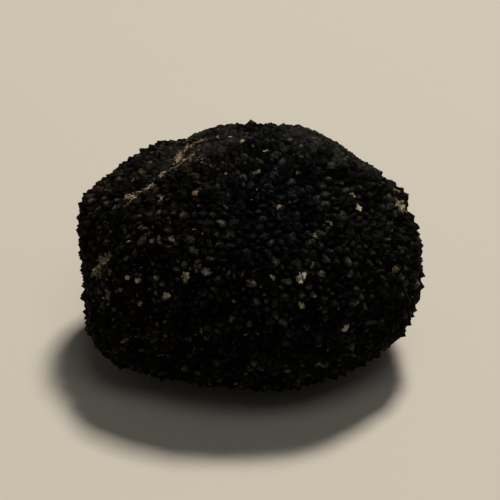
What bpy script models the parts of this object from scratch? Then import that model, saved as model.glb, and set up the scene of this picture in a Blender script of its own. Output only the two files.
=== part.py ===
"""A black truffle as one solid: a lumpy body whose whole skin is raised in small pyramid-shaped warts.

Each wart is a fan of flat facets that climb from the groove round it to its own tip. The warts meet edge to
edge, so the skin is one closed surface. The underside is pressed flat where the truffle rests.
Units are metres, +Z is up, and the origin is the middle of the base.
"""

import itertools
import math
import random

import bmesh
import bpy
from mathutils import Matrix, Vector, noise

MM = 0.001

# Overall size of the finished solid.
WIDTH = 54 * MM
DEPTH = 44 * MM
HEIGHT = 38 * MM

# The body before lobes and creases: a rounded block between an ellipsoid (2.0) and a box.
SQUARENESS = 2.25
FLAT_SPOT_RISE = 1.3 * MM

# Warts: their usual spacing, and how far single warts depart from it and from the usual rise.
WART_SPACING = 1.46 * MM
WART_SIZES = (0.72, 1.36)
WART_RISE = 0.17
WART_RISES = (0.7, 1.3)
GROOVE_DEPTH = 0.29 * MM
TIP_LEAN = 0.20
DARTS = 24000
SEED = 41

# Broad unevenness of the body: (wavelength, height).
SWELLS = ((14 * MM, 0.70 * MM), (6 * MM, 0.30 * MM))

# Facets, where the soil pressed the body flat: the way each faces, and how far it is from the middle.
FACETS = {
    "top_left": ((-0.42, 0.22, 0.88), 19.6 * MM),
    "top_right": ((0.58, 0.45, 0.68), 22.5 * MM),
    "left_side": ((-0.98, -0.18, -0.06), 27.9 * MM),
}
FACET_SOFTNESS = 0.7 * MM
FACET_REACH = 0.3

# Lobes and hollows: where on the body (a direction from its middle), how far each stands out, and its spread.
LOBES = {
    "left_shoulder": ((-0.90, 0.26, 0.34), 2.1 * MM, 10 * MM),
    "left_heel": ((-0.86, -0.36, -0.36), 3.2 * MM, 9 * MM),
    "right_cheek": ((0.97, -0.20, -0.02), 1.3 * MM, 8 * MM),
    "right_heel": ((0.86, -0.36, -0.36), 1.4 * MM, 8 * MM),
    "right_knob": ((0.92, 0.12, 0.38), 1.9 * MM, 5.5 * MM),
    "front_belly": ((0.20, -0.96, -0.12), 0.8 * MM, 13 * MM),
    "front_dimple": ((0.06, -0.57, 0.80), -1.5 * MM, 7 * MM),
    "front_left_hollow": ((-0.52, -0.80, 0.10), -1.0 * MM, 7 * MM),
    "back_right_lobe": ((0.62, 0.76, 0.10), 1.7 * MM, 10 * MM),
    "back_left_lobe": ((-0.52, 0.82, -0.22), 1.2 * MM, 8 * MM),
    "back_hollow": ((-0.16, 0.90, 0.38), -1.4 * MM, 7 * MM),
    "under_hollow": ((0.35, 0.30, -0.90), -1.0 * MM, 8 * MM),
}

# Creases: the points that each runs through (directions from the middle), its depth and its half width.
CREASES = {
    "top_left_crease": (
        ((-0.81, -0.16, 0.57), (-0.73, 0.03, 0.68), (-0.62, 0.26, 0.74), (-0.55, 0.44, 0.71)),
        2.0 * MM,
        1.4 * MM,
    ),
    "left_crease": (
        ((-0.84, -0.42, 0.36), (-0.93, -0.34, 0.12), (-0.97, -0.20, -0.10)),
        1.8 * MM,
        1.4 * MM,
    ),
    "right_crease": (
        ((0.88, 0.42, 0.18), (0.96, 0.16, 0.20), (0.91, -0.18, 0.32)),
        2.5 * MM,
        1.4 * MM,
    ),
    "back_fold": (
        ((-0.52, 0.62, 0.58), (-0.14, 0.90, 0.40), (0.10, 0.98, 0.06), (0.02, 0.92, -0.38)),
        2.8 * MM,
        1.8 * MM,
    ),
    "back_branch": (
        ((0.10, 0.98, 0.06), (0.40, 0.90, -0.12), (0.62, 0.74, -0.26)),
        1.9 * MM,
        1.5 * MM,
    ),
}
CREASE_WANDER = 1.2 * MM
CREASE_WANDER_WAVELENGTH = 5 * MM


def block_radius(direction):
    """Distance from the middle to the plain rounded block, along a unit direction."""
    halves = (WIDTH / 2, DEPTH / 2, HEIGHT / 2)
    total = sum((abs(part) / half) ** SQUARENESS for part, half in zip(direction, halves))
    return total ** (-1 / SQUARENESS)


def on_block(direction):
    unit = Vector(direction).normalized()
    return unit * block_radius(unit)


def softer_of(radius, limit):
    """The smaller of two lengths, with the corner between them rounded off."""
    gap = abs(radius - limit)
    return min(radius, limit) - FACET_SOFTNESS * math.log1p(math.exp(-gap / FACET_SOFTNESS))


FACET_SHAPES = [(Vector(facing).normalized(), distance) for facing, distance in FACETS.values()]
LOBE_SHAPES = [(on_block(where), rise, spread) for where, rise, spread in LOBES.values()]
CREASE_SHAPES = [
    ([on_block(where) for where in path], depth, half_width) for path, depth, half_width in CREASES.values()
]


def distance_to_path(point, path):
    """(distance to a chain of points, how far along it the nearest place is, from 0 to 1)."""
    nearest, along = None, 0
    for index, (start, end) in enumerate(zip(path, path[1:])):
        run = end - start
        share = min(1, max(0, (point - start).dot(run) / run.length_squared))
        distance = (point - (start + run * share)).length
        if nearest is None or distance < nearest:
            nearest, along = distance, (index + share) / (len(path) - 1)
    return nearest, along


def crease_fade(along):
    """How deep a crease is at one place along it: full in the middle, and a little over half at its ends."""
    return math.sqrt(math.sin(math.pi * (0.1 + 0.8 * along)))


def skin_radius(direction):
    """Distance from the middle to the skin under the warts, along a unit direction."""
    radius = block_radius(direction)
    point = direction * radius
    for centre, rise, spread in LOBE_SHAPES:
        radius += rise * math.exp(-((point - centre).length / spread) ** 2)
    for facing, distance in FACET_SHAPES:
        slant = direction.dot(facing)
        if slant > FACET_REACH:
            radius = softer_of(radius, distance / slant)
    wander = noise.noise_vector(point / CREASE_WANDER_WAVELENGTH) * CREASE_WANDER
    for path, depth, half_width in CREASE_SHAPES:
        distance, along = distance_to_path(point + wander, path)
        radius -= depth * crease_fade(along) * math.exp(-((distance / half_width) ** 2))
    for wavelength, height in SWELLS:
        radius += height * noise.noise(point / wavelength)
    return radius


def random_direction(draw):
    """A direction drawn evenly over the sphere."""
    height = draw.uniform(-1, 1)
    turn = draw.uniform(0, 2 * math.pi)
    across = math.sqrt(1 - height * height)
    return Vector((across * math.cos(turn), across * math.sin(turn), height))


def wart_directions(draw):
    """Directions of the warts' tips: random darts of mixed sizes, dropped where one would crowd another."""
    cell = WART_SPACING * max(WART_SIZES)
    taken = {}
    kept = []
    for _ in range(DARTS):
        direction = random_direction(draw)
        point = direction * skin_radius(direction)
        size = WART_SPACING * draw.uniform(*WART_SIZES)
        home = [int(part // cell) for part in point]
        around = itertools.product(*((part - 1, part, part + 1) for part in home))
        near = itertools.chain.from_iterable(taken.get(key, ()) for key in around)
        if all((point - other).length >= (size + other_size) / 2 for other, other_size in near):
            taken.setdefault(tuple(home), []).append((point, size))
            kept.append(direction)
    return kept


def warty_skin(tips, draw):
    """The closed mesh of all warts. Neighbouring tips form triangles, and the middle of each triangle is
    where the grooves between its three warts meet. Each pair of neighbouring warts shares one groove edge,
    with a facet on each side of it."""
    hull = bmesh.new()
    for tip in tips:
        hull.verts.new(tip)
    bmesh.ops.convex_hull(hull, input=hull.verts)

    skin = bmesh.new()
    tip_of = {}
    for vert in hull.verts:
        size = WIDTH / 2 * sum(edge.calc_length() for edge in vert.link_edges) / len(vert.link_edges)
        lean = Vector([draw.uniform(-1, 1) for _ in range(3)]) * TIP_LEAN * size / (WIDTH / 2)
        direction = (vert.co + lean).normalized()
        rise = WART_RISE * size * draw.uniform(*WART_RISES)
        tip_of[vert] = skin.verts.new(direction * (skin_radius(direction) + rise))
    corner_of = {}
    for face in hull.faces:
        direction = face.calc_center_median().normalized()
        corner_of[face] = skin.verts.new(direction * (skin_radius(direction) - GROOVE_DEPTH))
    for edge in hull.edges:
        first, second = (corner_of[face] for face in edge.link_faces)
        for vert in edge.verts:
            skin.faces.new((tip_of[vert], first, second))
    hull.free()
    bmesh.ops.recalc_face_normals(skin, faces=skin.faces)
    return skin


def press_flat(skin):
    """Flattens what lies under the base plane, as the truffle's own weight has."""
    base = min(vert.co.z for vert in skin.verts) + FLAT_SPOT_RISE
    for vert in skin.verts:
        vert.co.z = max(vert.co.z, base)


def fit_to_size(skin):
    """Scales the mesh to its exact overall size and stands it on the origin."""
    lowest = Vector([min(vert.co[axis] for vert in skin.verts) for axis in range(3)])
    highest = Vector([max(vert.co[axis] for vert in skin.verts) for axis in range(3)])
    middle = (lowest + highest) / 2
    size = highest - lowest
    bmesh.ops.translate(skin, verts=skin.verts, vec=(-middle.x, -middle.y, -lowest.z))
    scale = Matrix.Diagonal((WIDTH / size.x, DEPTH / size.y, HEIGHT / size.z)).to_4x4()
    bmesh.ops.transform(skin, matrix=scale, verts=skin.verts)


def skin_material():
    material = bpy.data.materials.new("truffle_skin")
    material.use_nodes = True
    shader = material.node_tree.nodes["Principled BSDF"]
    shader.inputs["Base Color"].default_value = (0.020, 0.017, 0.014, 1)
    shader.inputs["Roughness"].default_value = 0.7
    shader.inputs["Metallic"].default_value = 0
    return material


def main():
    for obj in list(bpy.data.objects):
        bpy.data.objects.remove(obj)
    noise.seed_set(SEED)
    draw = random.Random(SEED)
    skin = warty_skin(wart_directions(draw), draw)
    press_flat(skin)
    fit_to_size(skin)
    mesh = bpy.data.meshes.new("truffle")
    skin.to_mesh(mesh)
    skin.free()
    mesh.materials.append(skin_material())
    truffle = bpy.data.objects.new("truffle", mesh)
    bpy.context.scene.collection.objects.link(truffle)


main()
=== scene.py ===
"""The looks of the black truffle: a fine warty skin over the frame's solid, soil and wear, light and camera.

The frame's warts are larger than life. Here the same lobes, facets and creases carry finer warts, so the
frame's solid is replaced by one skin of the same form.

Lengths are in metres and angles in radians. A place on the truffle is given as the direction that it lies in
from the truffle's middle, which needn't be of length 1. Sizes on the skin are angles seen from the middle.
"""

import itertools
import math

import bmesh
import bpy
import numpy as np
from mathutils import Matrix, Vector, noise


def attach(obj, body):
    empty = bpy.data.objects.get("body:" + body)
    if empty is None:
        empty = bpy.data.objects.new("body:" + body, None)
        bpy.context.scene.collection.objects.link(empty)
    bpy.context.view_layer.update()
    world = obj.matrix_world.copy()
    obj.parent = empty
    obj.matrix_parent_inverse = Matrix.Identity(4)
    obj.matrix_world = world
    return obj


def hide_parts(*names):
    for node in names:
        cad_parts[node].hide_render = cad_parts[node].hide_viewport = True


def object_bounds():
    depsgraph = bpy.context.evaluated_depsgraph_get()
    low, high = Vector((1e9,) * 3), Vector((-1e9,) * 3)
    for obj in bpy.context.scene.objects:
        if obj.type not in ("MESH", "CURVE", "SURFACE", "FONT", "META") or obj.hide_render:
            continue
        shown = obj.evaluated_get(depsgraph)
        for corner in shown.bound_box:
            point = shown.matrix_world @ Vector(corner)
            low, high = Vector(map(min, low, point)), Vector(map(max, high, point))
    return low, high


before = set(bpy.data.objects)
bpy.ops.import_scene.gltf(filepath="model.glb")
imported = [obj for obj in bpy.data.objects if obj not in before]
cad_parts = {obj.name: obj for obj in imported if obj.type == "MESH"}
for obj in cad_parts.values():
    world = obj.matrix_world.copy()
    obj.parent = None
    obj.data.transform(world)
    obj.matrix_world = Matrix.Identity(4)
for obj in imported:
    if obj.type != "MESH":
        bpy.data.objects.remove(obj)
CAD_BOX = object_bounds()
CAD_LOW, CAD_HIGH = CAD_BOX
MIDDLE = (CAD_LOW + CAD_HIGH) / 2
MM = 0.001
SEED = 7

# ---------------------------------------------------------------- the frame's skin

WELD = 0.001 * MM
TIP_BLUR = 0.060  # the angle over which the frame's wart tips are averaged
GROOVE_BLUR = 0.045  # the same for its grooves
WIDE_BLUR = 0.11  # the same for both, to tell what is hollow
SAMPLES_AT_ONCE = 4000


def tips_and_grooves(node):
    """The frame's wart tips and groove corners, as two arrays of points from the middle.

    A tip stands farther out than the vertices round it. Those on the flat spot are left out."""
    shape = bmesh.new()
    shape.from_mesh(node.data)
    bmesh.ops.remove_doubles(shape, verts=shape.verts, dist=WELD)
    away = {vert: (vert.co - MIDDLE).length for vert in shape.verts}
    tips, grooves = [], []
    for vert in shape.verts:
        if vert.co.z > CAD_LOW.z + WELD:
            around = [away[edge.other_vert(vert)] for edge in vert.link_edges]
            kind = tips if away[vert] > sum(around) / len(around) else grooves
            kind.append(vert.co - MIDDLE)
    shape.free()
    return np.array(tips), np.array(grooves)


def mean_distance(points, directions, blur):
    """How far out the points lie on average round each direction, the nearest counting most."""
    reach = np.linalg.norm(points, axis=1)
    known = (points / reach[:, None]).astype(np.float32)
    means = []
    for part in np.array_split(directions.astype(np.float32), len(directions) // SAMPLES_AT_ONCE + 1):
        weight = np.exp((part @ known.T - 1) / blur**2)
        means.append(weight @ reach / weight.sum(1))
    return np.concatenate(means)


TIPS, GROOVES = tips_and_grooves(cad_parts["truffle"])


def skin_distance(directions):
    """The frame's skin, half way between its wart tips and its grooves."""
    return (mean_distance(TIPS, directions, TIP_BLUR) + mean_distance(GROOVES, directions, GROOVE_BLUR)) / 2


# ---------------------------------------------------------------- places on the truffle

# The paths of the creases.
RIGHT_NOTCH = ((0.88, 0.42, 0.18), (0.96, 0.16, 0.20), (0.91, -0.18, 0.32))
BACK_FOLD = ((-0.52, 0.62, 0.58), (-0.14, 0.90, 0.40), (0.10, 0.98, 0.06), (0.02, 0.92, -0.38))
BACK_BRANCH = ((0.10, 0.98, 0.06), (0.40, 0.90, -0.12), (0.62, 0.74, -0.26))
TOP_LEFT_CREASE = ((-0.79, -0.17, 0.59), (-0.66, -0.03, 0.75), (-0.48, 0.13, 0.87))
HIGH_LEFT_CREASE = ((-0.78, -0.33, 0.53), (-0.64, -0.39, 0.66), (-0.50, -0.45, 0.74))

# How sharply each crease is drawn in.
CREASES = (
    (RIGHT_NOTCH, 1.0),
    (BACK_FOLD, 1.0),
    (BACK_BRANCH, 1.0),
    (TOP_LEFT_CREASE, 0.4),
    (HIGH_LEFT_CREASE, 0.5),
)
CREASE_WIDTH = 0.075

# The paths of the soil that is caught in the creases.
TOP_LEFT_SOIL = (
    (-0.80, -0.20, 0.57),
    (-0.73, -0.15, 0.67),
    (-0.66, -0.03, 0.75),
    (-0.58, 0.04, 0.81),
    (-0.48, 0.13, 0.87),
)
CROWN_SOIL = ((-0.64, 0.22, 0.74), (-0.55, 0.42, 0.72), (-0.45, 0.39, 0.80), (-0.38, 0.39, 0.84))
LEFT_SOIL = ((-0.88, -0.39, 0.27), (-0.91, -0.37, 0.17), (-0.94, -0.32, 0.06))
FOLD_SOIL = ((-0.55, 0.42, 0.72), (-0.14, 0.90, 0.40), (0.10, 0.98, 0.06), (0.02, 0.92, -0.38))

# How wide each line of soil lies, and how thickly.
SOIL_LINES = (
    (TOP_LEFT_SOIL, 0.100, 1.25),
    (CROWN_SOIL, 0.090, 1.0),
    (LEFT_SOIL, 0.095, 1.35),
    (FOLD_SOIL, 0.070, 0.65),
)
SOIL_WANDER = (0.16, 0.05)  # (wavelength, how far) the lines of soil and the specks stray from their outlines
SOIL_LUMPS = (0.10, 1.0)  # (wavelength, how uneven) a line of soil is in width
NARROWEST_SOIL = 0.3  # as a share of the line's width
SOIL_ON_TIPS = 0.42  # how much thinner soil lies on a wart's tip than in the groove round it
SOIL_ENDS = (0.13, 0.7)  # a line thins out over this angle at its ends, to this share of its thickness

# How pale soil and specks are: 0 is brown, 0.5 is tan and 1 is whitish.
SOIL_PALENESS = 0.5

# The larger pale specks, of soil and of dry warts: the place, the size and the paleness of each.
SPECKS = (
    # low on the left
    ((-0.45, -0.80, 0.35), 0.042, 0.75),
    ((-0.55, -0.80, 0.20), 0.028, 0.8),
    ((-0.70, -0.70, 0.10), 0.024, 0.5),
    ((-0.75, -0.60, 0.25), 0.022, 0.7),
    ((-0.70, -0.65, 0.25), 0.020, 0.7),
    ((-0.85, -0.55, 0.05), 0.028, 0.3),
    # high on the left
    ((-0.40, -0.40, 0.80), 0.030, 0.15),
    ((-0.65, -0.35, 0.70), 0.022, 0.6),
    # on the crown
    ((-0.15, 0.30, 0.95), 0.022, 0.8),
    ((-0.05, 0.20, 0.95), 0.024, 0.6),
    ((0.10, 0.00, 0.95), 0.020, 0.9),
    ((0.05, -0.25, 0.95), 0.022, 0.5),
    # on the front
    ((0.35, -0.85, 0.40), 0.040, 1.2),
    ((0.15, -0.90, 0.45), 0.026, 0.7),
    ((0.45, -0.65, 0.60), 0.020, 0.5),
    ((0.35, -0.90, 0.20), 0.032, 0.7),
    # on the right
    ((0.70, -0.30, 0.65), 0.026, 0.7),
    ((0.75, -0.35, 0.60), 0.026, 0.8),
    ((0.60, -0.80, -0.05), 0.036, 1.2),
    ((0.85, -0.45, 0.15), 0.018, 0.2),
    # the scuff beside the notch on the right
    ((0.95, -0.05, 0.40), 0.056, 0.7),
    ((0.95, 0.00, 0.30), 0.030, 0.8),
    ((0.90, -0.15, 0.35), 0.028, 0.6),
    ((0.90, 0.05, 0.45), 0.018, 0.3),
)
STRAY_SPECKS = 90
STRAY_SIZES = (0.008, 0.020)
STRAY_PALENESS = (0.1, 0.6)

# Patches of brown crumbs: the place of each, its spread, and how many crumbs it has.
BROWN_PATCHES = (
    ((-0.77, -0.59, 0.12), 0.20, 34),
    ((-0.45, 0.04, 0.89), 0.10, 16),
)
BROWN_SIZES = (0.008, 0.018)
BROWN_PALENESS = (0, 0.3)

# Where the skin is tinted rusty, and where a blue reflection is painted on it: the place and the size.
RUSTY = ((-0.87, -0.26, 0.40), 1.1)
BLUE_REFLECTION_PLACE = ((0.12, -0.48, 0.86), 0.50)

# Broad facets where the warts are pressed flatter: the place of each, and its reach.
FLATTER = (
    ((-0.42, 0.30, 0.86), 0.42),
    ((0.58, 0.40, 0.68), 0.46),
)

# Where the warts are finer, in the same way.
FINER = (*FLATTER, ((-0.74, -0.56, 0.30), 0.50))

# Where the edge of a zone or of a patch begins and ends, as shares of its size.
ZONE_EDGE = (0.6, 1.2)
PATCH_EDGE = (0.4, 1.3)
STEPS_ALONG_PATH = 13  # between two of its points


def unit(vectors):
    """Vectors of length 1 in the same directions."""
    vectors = np.asarray(vectors, float)
    return vectors / np.linalg.norm(vectors, axis=-1, keepdims=True)


def fade(value, start, end):
    """0 at start and 1 at end, with a smooth turn between them."""
    share = np.clip((value - start) / (end - start), 0, 1)
    return share * share * (3 - 2 * share)


def angle_to(directions, place):
    """The angle from each direction to a place."""
    return np.arccos(np.clip(directions @ unit(place), -1, 1))


def angle_to_path(directions, path):
    """The angle from each direction to a chain of places."""
    nearest = np.full(len(directions), math.pi)
    for start, end in itertools.pairwise(path):
        for share in np.linspace(0, 1, STEPS_ALONG_PATH):
            place = np.array(start) * (1 - share) + np.array(end) * share
            nearest = np.minimum(nearest, angle_to(directions, place))
    return nearest


def inside(directions, zones):
    """1 in the zones, and 0 away from them."""
    share = np.zeros(len(directions))
    for place, reach in zones:
        begins, ends = (edge * reach for edge in ZONE_EDGE)
        share = np.maximum(share, 1 - fade(angle_to(directions, place), begins, ends))
    return share


def patch(directions, place, size):
    """1 in the middle of a patch, and 0 outside it."""
    begins, ends = (edge * size for edge in PATCH_EDGE)
    return 1 - fade(angle_to(directions, place), begins, ends)


def noises(points, wavelength):
    """A vector of smooth noise at each point."""
    return np.array([noise.noise_vector(Vector(point)) for point in points / wavelength])


# ---------------------------------------------------------------- a mesh's numbers


def read(mesh, name):
    """A mesh's numbers of one kind, as an array with a number or a vector for each vertex."""
    attribute = mesh.attributes[name]
    vectors = attribute.data_type == "FLOAT_VECTOR"
    numbers = np.empty(len(mesh.vertices) * (3 if vectors else 1), np.float32)
    attribute.data.foreach_get("vector" if vectors else "value", numbers)
    return (numbers.reshape(-1, 3) if vectors else numbers).astype(float)


def write(mesh, name, numbers):
    """Writes numbers that the material reads, one for each vertex."""
    attribute = mesh.attributes.get(name) or mesh.attributes.new(name, "FLOAT", "POINT")
    attribute.data.foreach_set("value", np.asarray(numbers, np.float32))


def move(mesh, places):
    """Puts each vertex at its place."""
    mesh.vertices.foreach_set("co", places.astype(np.float32).ravel())


# ---------------------------------------------------------------- the warts

WART_SPACING = 1.24 * MM
WART_SIZES = (0.55, 1.50)
FINER_BY = 0.25
SIZE_DRIFT = (14 * MM, 0.25)  # (wavelength, share of the size)
DARTS = 60000  # many more than the warts that there is room for
TIP_LEAN = 0.6  # at most, as a share of the way to one of the wart's corners

# Each wart's rings, from its groove to its tip: how far in and how far up each stands, as shares.
RINGS = (0, 1 / 3, 2 / 3, 1)
RING_INWARD = (0, 0.28, 0.62, 1)
RING_HEIGHT = (0, 0.37, 0.70, 1)
TIP_POWERS = (0.9, 1.6)  # from domed to pointed
AT_TIP = 0.999
TINY = 1e-6  # keeps a division from going wrong where it doesn't count

WART_RISE = 0.50  # as a share of the wart's width
WART_RISES = (0.5, 1.4)  # times that, by chance
GROOVE_DEPTH = 0.38 * MM
JOINED = 0.52 * MM  # how far up neighbouring warts grow together, here and there
JOINED_WAVELENGTH = 1.7 * MM
JOINED_NOISE = (-0.05, 0.45)  # the noise at which they begin to, and at which they do fully
SWELL = (3.2 * MM, 0.22 * MM)  # (wavelength, distance)
FLUTE_DEPTH = 0.07 * MM  # how far the foot of a wart is drawn in, half way along a long groove
FLUTE_TOP = 0.5  # how high up the wart that goes
LONG_GROOVE = 0.9 * MM
FLATTER_RISE = 0.60
FLATTER_JOINED = 0.5
FLATTER_LIFT = 0.28 * MM  # makes up for the lower warts, so that the outline stays the frame's
HOLLOWS = (0.25 * MM, 0.9 * MM)  # how far a place lies below those round it to be a little hollow, and fully
CREASE_SHARPENING = 0.8 * MM
CHIPS = 0.012 * MM  # how far each vertex is out of its place, by chance
ROUGHEN = ((1.1 * MM, 0.12 * MM), (0.45 * MM, 0.09 * MM))  # (wavelength, distance)
GROOVE_NUMBER = 0.5  # a groove's tone and luck, because it belongs to no wart


def wart_tips(draw):
    """Directions of the wart tips: random darts of mixed sizes, dropped where one would crowd another."""
    directions = unit(draw.normal(size=(DARTS, 3)))
    places = directions * skin_distance(directions)[:, None]
    sizes = WART_SPACING * draw.uniform(*WART_SIZES, DARTS) * (1 - FINER_BY * inside(directions, FINER))
    sizes *= 1 + SIZE_DRIFT[1] * noises(places, SIZE_DRIFT[0])[:, 0]
    cell = WART_SPACING * max(WART_SIZES)
    homes = np.floor(places / cell).astype(int)
    taken = {}
    kept = []
    for index, (place, size, home) in enumerate(zip(places.tolist(), sizes.tolist(), homes.tolist())):
        around = itertools.product(*((part - 1, part, part + 1) for part in home))
        near = itertools.chain.from_iterable(taken.get(key, ()) for key in around)
        if all(math.dist(place, other) >= (size + other_size) / 2 for other, other_size in near):
            taken.setdefault(tuple(home), []).append((place, size))
            kept.append(index)
    return directions[kept]


def wart_fans(tips, draw):
    """The warts' facets on the unit sphere, each split in nine.

    Neighbouring tips form triangles, and the middle of each triangle is a corner of its three warts. Every
    vertex knows its own tip and that wart's own numbers, each times the vertex's height in the wart: 1 at the
    tip and 0 in the groove."""
    hull = bmesh.new()
    for tip in tips:
        hull.verts.new(tip)
    bmesh.ops.convex_hull(hull, input=hull.verts)

    fans = bmesh.new()
    height = fans.verts.layers.float.new("height")
    lift = fans.verts.layers.float.new("lift")
    tone = fans.verts.layers.float.new("tone")
    luck = fans.verts.layers.float.new("luck")
    own_tip = fans.verts.layers.float_vector.new("own_tip")
    corner_of = {face: fans.verts.new(face.calc_center_median().normalized()) for face in hull.faces}
    tip_of = {}
    for vert in hull.verts:
        leaned_to = corner_of[vert.link_faces[draw.integers(len(vert.link_faces))]]
        size = sum(edge.calc_length() for edge in vert.link_edges) / len(vert.link_edges)
        place = vert.co.lerp(leaned_to.co, draw.uniform(0, TIP_LEAN)).normalized()
        tip = tip_of[vert] = fans.verts.new(place)
        tip[height] = 1
        tip[lift] = size * draw.uniform(*WART_RISES)
        tip[tone] = draw.uniform()
        tip[luck] = draw.uniform()
        tip[own_tip] = tip.co
    for edge in hull.edges:
        first, second = (corner_of[face] for face in edge.link_faces)
        for vert in edge.verts:
            fans.faces.new((tip_of[vert], first, second))
    hull.free()
    bmesh.ops.recalc_face_normals(fans, faces=fans.faces)
    bmesh.ops.subdivide_edges(fans, edges=fans.edges, cuts=len(RINGS) - 2, use_grid_fill=True)
    mesh = bpy.data.meshes.new("truffle_skin")
    fans.to_mesh(mesh)
    fans.free()
    return mesh


def own_number(mesh, name):
    """The number of the wart that each vertex is on, and 0 in the grooves."""
    height = read(mesh, "height")
    return read(mesh, name) / np.maximum(height, TINY) * (height > 0)


def wart_places(mesh):
    """Each vertex's direction, and the place in the groove that it climbs from."""
    height = read(mesh, "height")[:, None]
    tip = read(mesh, "own_tip") / np.maximum(height, TINY)
    groove = (read(mesh, "position") - tip * height) / np.maximum(1 - height, TINY)
    inward = np.interp(height, RINGS, RING_INWARD)
    directions = unit(np.where(height > AT_TIP, tip, groove * (1 - inward) + tip * inward))
    return directions, groove


def hollows(directions, distance):
    """1 deep in a crease or hollow, and 0 away from them."""
    everything = np.concatenate((TIPS, GROOVES))
    hollow = fade(mean_distance(everything, directions, WIDE_BLUR) - distance, *HOLLOWS)
    for path, sharpness in CREASES:
        hollow = np.maximum(hollow, sharpness * (1 - fade(angle_to_path(directions, path), 0, CREASE_WIDTH)))
    return hollow


def wart_rises(mesh, groove, distance, flatter):
    """How far each vertex stands out from the grooves."""
    height = read(mesh, "height")
    power = np.interp(own_number(mesh, "tone"), (0, 1), TIP_POWERS)
    up_the_wart = np.interp(height, RINGS, RING_HEIGHT) ** power
    rise = own_number(mesh, "lift") * up_the_wart
    rise *= WART_RISE * distance * (1 - (1 - FLATTER_RISE) * flatter)
    joined = fade(noises(groove * distance[:, None], JOINED_WAVELENGTH)[:, 0], *JOINED_NOISE)
    rise += JOINED * joined * (1 - up_the_wart) * (1 - FLATTER_JOINED * flatter)
    middle_of_side = (1 - (groove**2).sum(1)) / (LONG_GROOVE / (CAD_HIGH.x - CAD_LOW.x)) ** 2
    at_foot = (height > 0) * (height < FLUTE_TOP)
    return rise - FLUTE_DEPTH * np.clip(middle_of_side, 0, 1) * at_foot


def shape_warts(mesh, draw):
    """Raises the warts out of the frame's skin.

    Returns each vertex's direction, and how hollow its place is."""
    height = read(mesh, "height")
    directions, groove = wart_places(mesh)
    distance = skin_distance(directions)
    hollow = hollows(directions, distance)
    flatter = inside(directions, FLATTER)

    rise = wart_rises(mesh, groove, distance, flatter)
    rise += noises(directions * distance[:, None], SWELL[0])[:, 1] * SWELL[1]
    distance += rise - GROOVE_DEPTH - CREASE_SHARPENING * hollow + FLATTER_LIFT * flatter
    distance += draw.normal(size=len(distance)) * CHIPS
    places = directions * distance[:, None]
    for wavelength, reach in ROUGHEN:
        places += noises(places, wavelength) * reach
    move(mesh, places + np.array(MIDDLE))
    for name in ("tone", "luck"):
        write(mesh, name, own_number(mesh, name) + GROOVE_NUMBER * (height <= 0))
    write(mesh, "flatter", flatter)
    write(mesh, "hollow", hollow)
    return directions, hollow


def fit_to_frame(mesh):
    """Fits the skin to the frame's box, and presses it flat where the truffle rests."""
    places = read(mesh, "position")
    low, high = np.array(CAD_LOW), np.array(CAD_HIGH)
    reach_low, reach_high = places.min(0), places.max(0)
    reach_low[2] = low[2]
    places = low + (places - reach_low) * (high - low) / (reach_high - reach_low)
    places[:, 2] = np.maximum(places[:, 2], low[2])
    move(mesh, places)


# ---------------------------------------------------------------- soil and specks


def lay_soil(mesh, directions, hollow, draw):
    """Writes where soil and pale specks lie, how pale they are, where the skin is rusty, and where a blue
    reflection is painted on it.
    """
    soil, pale = np.zeros((2, len(directions)))

    def lay(amount, paleness):
        over = amount > soil
        soil[over], pale[over] = amount[over], paleness

    wandering = unit(directions + noises(directions, SOIL_WANDER[0]) * SOIL_WANDER[1])
    uneven = np.maximum(NARROWEST_SOIL, 1 + SOIL_LUMPS[1] * noises(directions, SOIL_LUMPS[0])[:, 1])
    settled = 1 - SOIL_ON_TIPS * read(mesh, "height")
    thinning, at_ends = SOIL_ENDS
    for path, width, thickness in SOIL_LINES:
        from_end = np.minimum(angle_to(wandering, path[0]), angle_to(wandering, path[-1]))
        amount = thickness * settled * (at_ends + (1 - at_ends) * fade(from_end, 0, thinning))
        lay(amount * (1 - fade(angle_to_path(wandering, path) / uneven, 0, width)), SOIL_PALENESS)
    for place, size, paleness in SPECKS:
        lay(patch(wandering, place, size), paleness)
    for _ in range(STRAY_SPECKS):
        speck = patch(directions, draw.normal(size=3), draw.uniform(*STRAY_SIZES))
        lay(speck, draw.uniform(*STRAY_PALENESS))
    for middle, spread, count in BROWN_PATCHES:
        for place in unit(middle) + draw.normal(size=(count, 3)) * spread:
            crumb = patch(directions, place, draw.uniform(*BROWN_SIZES))
            lay(crumb, draw.uniform(*BROWN_PALENESS))
    write(mesh, "soil", soil)
    write(mesh, "pale", pale)
    write(mesh, "rusty", np.maximum(patch(directions, *RUSTY), hollow * (directions[:, 0] < 0)))
    # Painted reflection: the patch where the skin is tinted blue.
    write(mesh, "blue_reflection", patch(directions, *BLUE_REFLECTION_PLACE))


# ---------------------------------------------------------------- the exported picture's layout

UNWRAP_MARGIN = 0.06


def unwrap(mesh, directions):
    """Lays the skin out for its exported picture as the six sides of a cube round it.

    They are three wide and two high."""
    corners = np.empty(len(mesh.loops), np.int32)
    mesh.loops.foreach_get("vertex_index", corners)
    corners = directions[corners.reshape(-1, 3)]
    middles = corners.mean(1)
    side = np.abs(middles).argmax(1)
    facing = np.sign(np.take_along_axis(middles, side[:, None], 1))
    axes = (np.repeat((side + turn) % 3, 3).reshape(-1, 3, 1) for turn in range(3))
    out, across, up = (np.take_along_axis(corners, axis, 2)[:, :, 0] for axis in axes)
    reach = math.pi / 2 + 2 * UNWRAP_MARGIN
    column, row = side[:, None] + 0.5, 0.5 + (facing < 0)
    places = np.empty((*out.shape, 2), np.float32)
    places[:, :, 0] = (column + np.arctan2(across * facing, np.abs(out)) / reach) / 3
    places[:, :, 1] = (row + np.arctan2(up, np.abs(out)) / reach) / 2
    mesh.uv_layers.new(name="OFBake").data.foreach_set("uv", places.ravel())


# ---------------------------------------------------------------- nodes of a material


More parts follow.
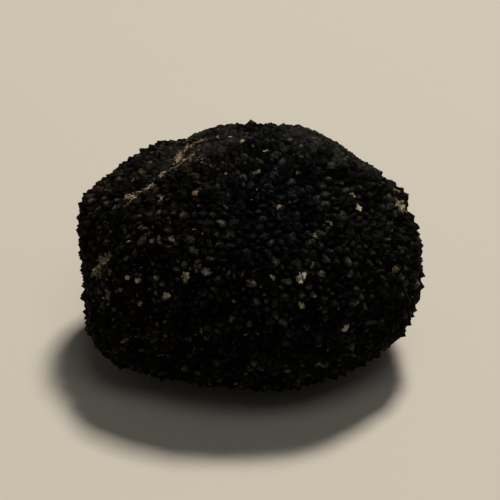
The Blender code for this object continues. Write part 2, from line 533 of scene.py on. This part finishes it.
def material(name):
    """A new material, its node tree and its shader."""
    made = bpy.data.materials.new(name)
    made.use_nodes = True
    return made, made.node_tree, made.node_tree.nodes["Principled BSDF"]


def number(tree, name):
    """An output that holds the mesh's number of that name."""
    node = tree.nodes.new("ShaderNodeAttribute")
    node.attribute_name = name
    return node.outputs["Fac"]


def grain(tree, wavelength, detail=2.0):
    """Noise of one size over the truffle, from 0 to 1."""
    place = tree.nodes.new("ShaderNodeTexCoord")
    node = tree.nodes.new("ShaderNodeTexNoise")
    node.inputs["Scale"].default_value = 1 / wavelength
    node.inputs["Detail"].default_value = detail
    tree.links.new(place.outputs["Object"], node.inputs["Vector"])
    return node.outputs["Fac"]


def maths(tree, operation, *values):
    """The outcome of one operation on numbers and outputs."""
    node = tree.nodes.new("ShaderNodeMath")
    node.operation = operation
    for socket, value in zip(node.inputs, values):
        if isinstance(value, bpy.types.NodeSocket):
            tree.links.new(value, socket)
        else:
            socket.default_value = value
    return node.outputs[0]


def product(tree, first, second):
    """Two numbers or outputs multiplied."""
    return maths(tree, "MULTIPLY", first, second)


def swing(tree, grains, reach):
    """Noise from 0 to 1, as a swing round 0 of that reach in all."""
    return maths(tree, "MULTIPLY_ADD", grains, reach, -reach / 2)


def ramp(tree, value, span):
    """0 where value is at the span's start and 1 where it is at its end."""
    node = tree.nodes.new("ShaderNodeMapRange")
    node.interpolation_type = "SMOOTHSTEP"
    tree.links.new(value, node.inputs["Value"])
    node.inputs["From Min"].default_value, node.inputs["From Max"].default_value = span
    return node.outputs["Result"]


def mix(tree, share, under, over, how="MIX"):
    """A colour that goes from under to over as share goes from 0 to 1, or from under to under times over."""
    node = tree.nodes.new("ShaderNodeMix")
    node.data_type = "RGBA"
    node.blend_type = how
    tree.links.new(share, node.inputs["Factor"])
    for value, socket in ((under, node.inputs["A"]), (over, node.inputs["B"])):
        if isinstance(value, bpy.types.NodeSocket):
            tree.links.new(value, socket)
        else:
            socket.default_value = (*value, 1)
    return node.outputs["Result"]


# ---------------------------------------------------------------- the skin's material

# Near black: the painted shade of the grooves, creases and hollows, and the skin's dark clumps.
SHADE_AND_CLUMP_BLACK = (0.0004, 0.0004, 0.0003)
SKIN_BLACK = (0.0025, 0.0025, 0.0022)
SKIN_GREY = (0.0265, 0.0256, 0.0210)
# Painted highlight: the grey of the wart tips that catch the light.
TIP_HIGHLIGHT_GREY = (0.062, 0.056, 0.041)
DUST = (0.080, 0.070, 0.048)
# Painted reflection: the blue that a patch of the skin is tinted with.
BLUE_REFLECTION_TINT = (0.86, 0.97, 1.20)
RUST_TINT = (1.0, 0.78, 0.58)
SOIL_BROWN = (0.070, 0.045, 0.024)
SOIL_TAN = (0.18, 0.137, 0.074)
SOIL_WHITISH = (0.37, 0.33, 0.24)

# The noises that break the colours up, by (wavelength, detail).
BLOTCHES = (6 * MM, 2)
CLUMPS = (2.3 * MM, 3)
FINE_GRAIN = (0.5 * MM, 3)
CRUMBS = (0.38 * MM, 3)
BUMPS = (0.22 * MM, 3)

# Where a colour comes in: the values of a noise, or of a number from the mesh, that give none and all of it.
LIGHTER_GRAIN = (0.30, 0.60)
# the painted highlight on the wart tips
HIGHLIGHT_HEIGHTS = (0.35, 0.9)
HIGHLIGHT_GRAIN = (0.44, 0.62)
HIGHLIGHT_LUCK = (0.35, 1.0)
DUST_HEIGHTS = (0.1, 0.9)
DUST_CRUMBS = (0.36, 0.56)
DUST_LUCK = (0.88, 1.02)
DARK_CLUMPS = (0.56, 0.42)
# the painted shade in the grooves
GROOVE_SHADE_HEIGHTS = (0.38, 0.0)
RUSTY_BLOTCHES = (0.35, 0.65)
TAN_PALENESS = (0.0, 0.5)
WHITISH_PALENESS = (0.5, 1.0)
ANY_SOIL = (0.0, 0.3)
SOIL_CRUMBS = (0.40, 0.75)

TONE_POWER = 2.4  # keeps most warts dark
FLATTER_PAINTED_LIGHT = 0.5  # painted light: how much lighter grey the flatter facets on the top are made
FLATTER_GROOVES = 0.6  # how dark the painted shade in the grooves is there
DARK_CLUMPS_SHARE = 0.8
RUST_LUCK = 0.03  # how much more likely rusty warts are to be dusty
PALENESS_SWING = 0.8
SOIL_SWING = 2.4

ROUGHNESS = 0.36
ROUGHNESS_MORE = 0.35  # where the fine grain is at its most
SPECULAR = 0.03
REFRACTION = 1.30
BUMP_STRENGTH = 0.5
BUMP_HEIGHT = 0.06 * MM


def wart_colour(tree, fine, crumbs):
    """Painted shade in the grooves, creases and hollows, painted highlights of grey on some wart tips and
    painted light on the flatter facets, dusty here and there, tinted rusty, and with a painted blue
    reflection.
    """
    height, tone, luck = (number(tree, name) for name in ("height", "tone", "luck"))
    flatter = number(tree, "flatter")
    rusty = product(tree, number(tree, "rusty"), ramp(tree, grain(tree, *BLOTCHES), RUSTY_BLOTCHES))

    lighter = product(tree, maths(tree, "POWER", tone, TONE_POWER), ramp(tree, fine, LIGHTER_GRAIN))
    body = mix(tree, lighter, SKIN_BLACK, SKIN_GREY)
    # Painted light: the flatter facets on the top are made greyer, as where the light falls on them.
    body = mix(tree, product(tree, flatter, FLATTER_PAINTED_LIGHT), body, SKIN_GREY)

    # Painted highlight: some wart tips are made grey, where they would catch the light.
    tips = product(tree, ramp(tree, height, HIGHLIGHT_HEIGHTS), ramp(tree, fine, HIGHLIGHT_GRAIN))
    body = mix(tree, product(tree, tips, ramp(tree, luck, HIGHLIGHT_LUCK)), body, TIP_HIGHLIGHT_GREY)

    dusty = product(tree, ramp(tree, height, DUST_HEIGHTS), ramp(tree, crumbs, DUST_CRUMBS))
    dusty_luck = maths(tree, "MULTIPLY_ADD", rusty, RUST_LUCK, luck)
    body = mix(tree, product(tree, dusty, ramp(tree, dusty_luck, DUST_LUCK)), body, DUST)

    dark_clumps = product(tree, ramp(tree, grain(tree, *CLUMPS), DARK_CLUMPS), DARK_CLUMPS_SHARE)
    body = mix(tree, dark_clumps, body, SHADE_AND_CLUMP_BLACK)
    # Painted shade: the grooves, creases and hollows are darkened towards black, less so on the flatter
    # facets.
    groove_shade_share = maths(tree, "MULTIPLY_ADD", flatter, FLATTER_GROOVES - 1, 1)
    grooves = product(tree, ramp(tree, height, GROOVE_SHADE_HEIGHTS), groove_shade_share)
    body = mix(tree, maths(tree, "MAXIMUM", grooves, number(tree, "hollow")), body, SHADE_AND_CLUMP_BLACK)
    # Painted reflection: a patch of the skin is tinted blue.
    body = mix(tree, number(tree, "blue_reflection"), body, BLUE_REFLECTION_TINT, "MULTIPLY")
    return mix(tree, rusty, body, RUST_TINT, "MULTIPLY")


def with_soil(tree, body, fine, crumbs):
    """Lays crumbs of brown, tan and whitish soil over the body's colour."""
    soil = number(tree, "soil")
    pale = maths(tree, "ADD", number(tree, "pale"), swing(tree, fine, PALENESS_SWING))
    earth = mix(tree, ramp(tree, pale, TAN_PALENESS), SOIL_BROWN, SOIL_TAN)
    earth = mix(tree, ramp(tree, pale, WHITISH_PALENESS), earth, SOIL_WHITISH)
    crumbly = maths(tree, "ADD", soil, swing(tree, crumbs, SOIL_SWING))
    crumbly = product(tree, crumbly, ramp(tree, soil, ANY_SOIL))
    return mix(tree, ramp(tree, crumbly, SOIL_CRUMBS), body, earth)


def skin_material():
    made, tree, shader = material("truffle_skin_warts")
    fine, crumbs = grain(tree, *FINE_GRAIN), grain(tree, *CRUMBS)
    body = with_soil(tree, wart_colour(tree, fine, crumbs), fine, crumbs)
    tree.links.new(body, shader.inputs["Base Color"])
    roughness = maths(tree, "MULTIPLY_ADD", fine, ROUGHNESS_MORE, ROUGHNESS)
    tree.links.new(roughness, shader.inputs["Roughness"])
    shader.inputs["Specular IOR Level"].default_value = SPECULAR
    shader.inputs["IOR"].default_value = REFRACTION
    bump = tree.nodes.new("ShaderNodeBump")
    bump.inputs["Strength"].default_value = BUMP_STRENGTH
    bump.inputs["Distance"].default_value = BUMP_HEIGHT
    tree.links.new(grain(tree, *BUMPS), bump.inputs["Height"])
    tree.links.new(bump.outputs["Normal"], shader.inputs["Normal"])
    return made


# ---------------------------------------------------------------- the truffle

noise.seed_set(SEED)
draw = np.random.default_rng(SEED)
skin = wart_fans(wart_tips(draw), draw)
directions, hollow = shape_warts(skin, draw)
fit_to_frame(skin)
unwrap(skin, directions)
lay_soil(skin, directions, hollow, draw)
skin.materials.append(skin_material())
truffle = bpy.data.objects.new("truffle_skin", skin)
bpy.context.scene.collection.objects.link(truffle)
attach(truffle, "root")
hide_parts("truffle")

# ---------------------------------------------------------------- floor, light and camera

FLOOR_HALF = 1.5
FLOOR_COLOUR = (0.50, 0.455, 0.375)
FLOOR_ROUGHNESS = 0.8

# Each light's name, place, size, power and colour. The key light is high, a little behind and to the right.
LIGHTS = (
    ("key_light", (0.22, 0.34, 1.15), 0.22, 16.0, (1.0, 0.97, 0.93)),
    ("fill_light", (0.2, -0.5, 1.3), 0.6, 2.5, (0.95, 0.97, 1.0)),
)
STUDIO_COLOUR = (0.92, 0.92, 0.90)
STUDIO_STRENGTH = 0.07

CAMERA_ELEVATION = math.radians(36)
CAMERA_DISTANCE = 0.43
CAMERA_LENS = 200


def floor_material():
    made, _, shader = material("floor")
    shader.inputs["Base Color"].default_value = (*FLOOR_COLOUR, 1)
    shader.inputs["Roughness"].default_value = FLOOR_ROUGHNESS
    return made


def made_floor():
    mesh = bpy.data.meshes.new("floor")
    sides = ((-1, -1), (1, -1), (1, 1), (-1, 1))
    corners = [(x * FLOOR_HALF, y * FLOOR_HALF, CAD_LOW.z) for x, y in sides]
    mesh.from_pydata(corners, [], [(0, 1, 2, 3)])
    mesh.materials.append(floor_material())
    floor = bpy.data.objects.new("floor", mesh)
    bpy.context.scene.collection.objects.link(floor)
    return floor


def looking_at(obj, target):
    obj.rotation_euler = (Vector(target) - obj.location).to_track_quat("-Z", "Y").to_euler()


def area_light(name, place, size, power, colour):
    light = bpy.data.lights.new(name, "AREA")
    light.size = size
    light.energy = power
    light.color = colour
    lamp = bpy.data.objects.new(name, light)
    lamp.location = place
    looking_at(lamp, MIDDLE)
    bpy.context.scene.collection.objects.link(lamp)


def studio():
    world = bpy.data.worlds.new("studio")
    world.use_nodes = True
    background = world.node_tree.nodes["Background"]
    background.inputs["Color"].default_value = (*STUDIO_COLOUR, 1)
    background.inputs["Strength"].default_value = STUDIO_STRENGTH
    return world


def made_camera():
    lens = bpy.data.cameras.new("camera")
    lens.lens = CAMERA_LENS
    camera = bpy.data.objects.new("camera", lens)
    back = Vector((0, -math.cos(CAMERA_ELEVATION), math.sin(CAMERA_ELEVATION)))
    camera.location = MIDDLE + back * CAMERA_DISTANCE
    looking_at(camera, MIDDLE)
    bpy.context.scene.collection.objects.link(camera)
    return camera


made_floor()
for light in LIGHTS:
    area_light(*light)
bpy.context.scene.world = studio()
bpy.context.scene.camera = made_camera()
bpy.context.scene.view_settings.view_transform = "Standard"
